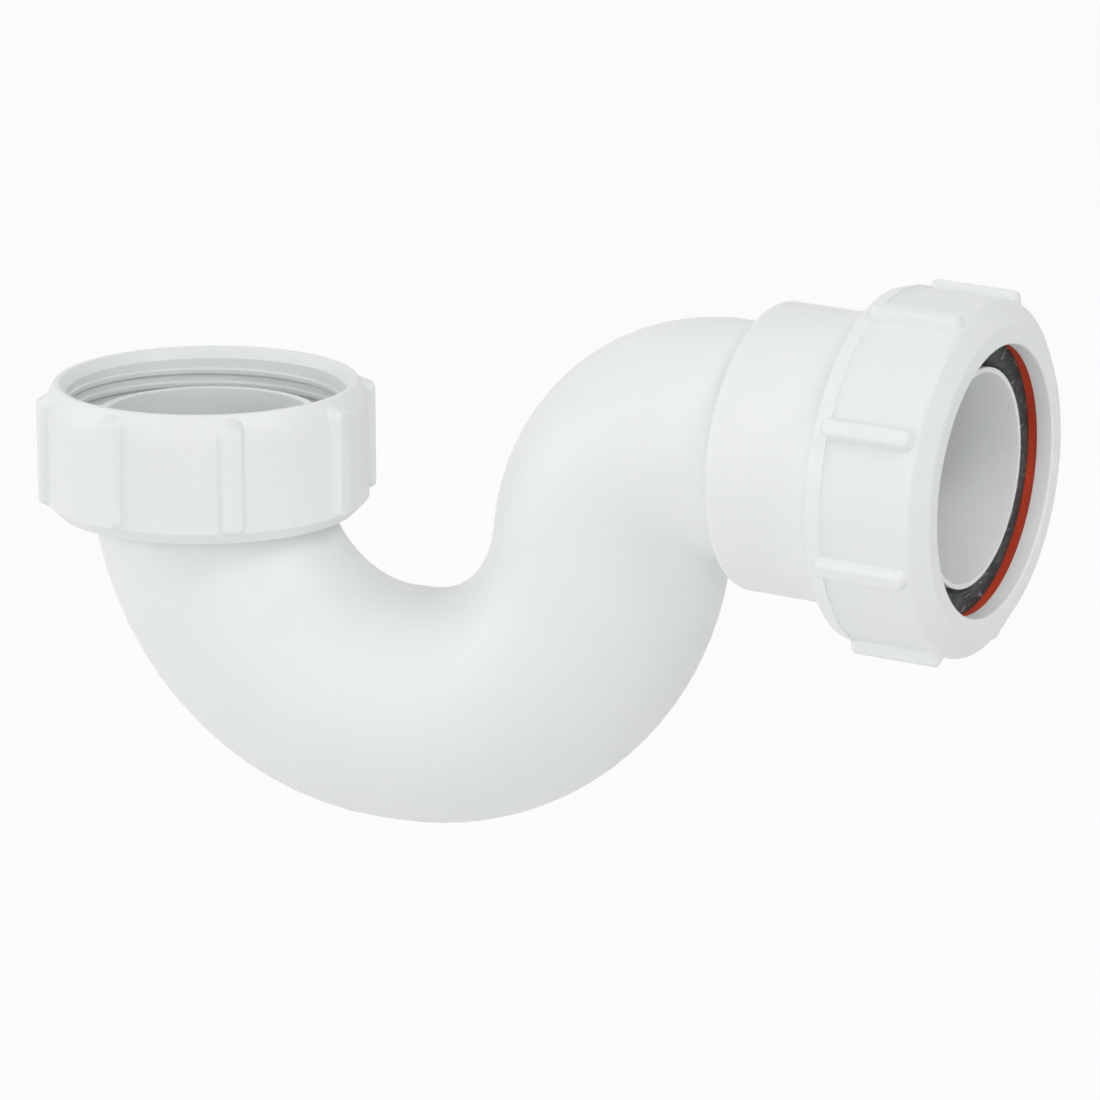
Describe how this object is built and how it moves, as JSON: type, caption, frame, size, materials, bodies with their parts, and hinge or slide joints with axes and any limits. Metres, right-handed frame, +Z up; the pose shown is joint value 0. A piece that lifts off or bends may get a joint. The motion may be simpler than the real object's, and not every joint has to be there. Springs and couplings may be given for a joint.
{
  "type": "bath trap",
  "caption": "White tubular bath trap with a shallow S-bend body, a swivel inlet union nut and a compression outlet with rubber seal and red slip ring.",
  "frame": {"origin": "centre of the inlet seat on the inlet axis, where the bath waste's tail presses on the washer", "axes": "+Z up along the inlet axis, +X towards the outlet, in the plane of the bends"},
  "size_m": [0.1778, 0.0598, 0.1012],
  "materials": {
    "white_plastic": "satin",
    "black_rubber": "matte",
    "red_plastic": "satin"
  },
  "bodies": {
    "trap": {"trap_body": "white_plastic", "inlet_washer": "black_rubber", "outlet_seal": "black_rubber"},
    "union": {"inlet_nut": "white_plastic"},
    "carried_ring": {"slip_ring": "red_plastic"},
    "compression": {"outlet_nut": "white_plastic"}
  },
  "joints": [
    {"name": "inlet_nut_turn", "type": "hinge", "parent": "trap", "child": "union", "pos_m": [0, 0, 0], "axis": [0, 0, 1], "continuous": true},
    {"name": "outlet_ring_slide", "type": "slide", "parent": "trap", "child": "carried_ring", "axis": [0.9991, 0, -0.0419], "range_m": [0, 0.0105]},
    {"name": "outlet_nut_turn", "type": "hinge", "parent": "carried_ring", "child": "compression", "pos_m": [0.1477, 0, 0.01184], "axis": [0.9991, 0, -0.0419], "range_deg": [0, 1260]}
  ],
  "couplings": [
    {"joint": "outlet_ring_slide", "follows": "outlet_nut_turn", "m_per_rad": 0.00047746}
  ]
}
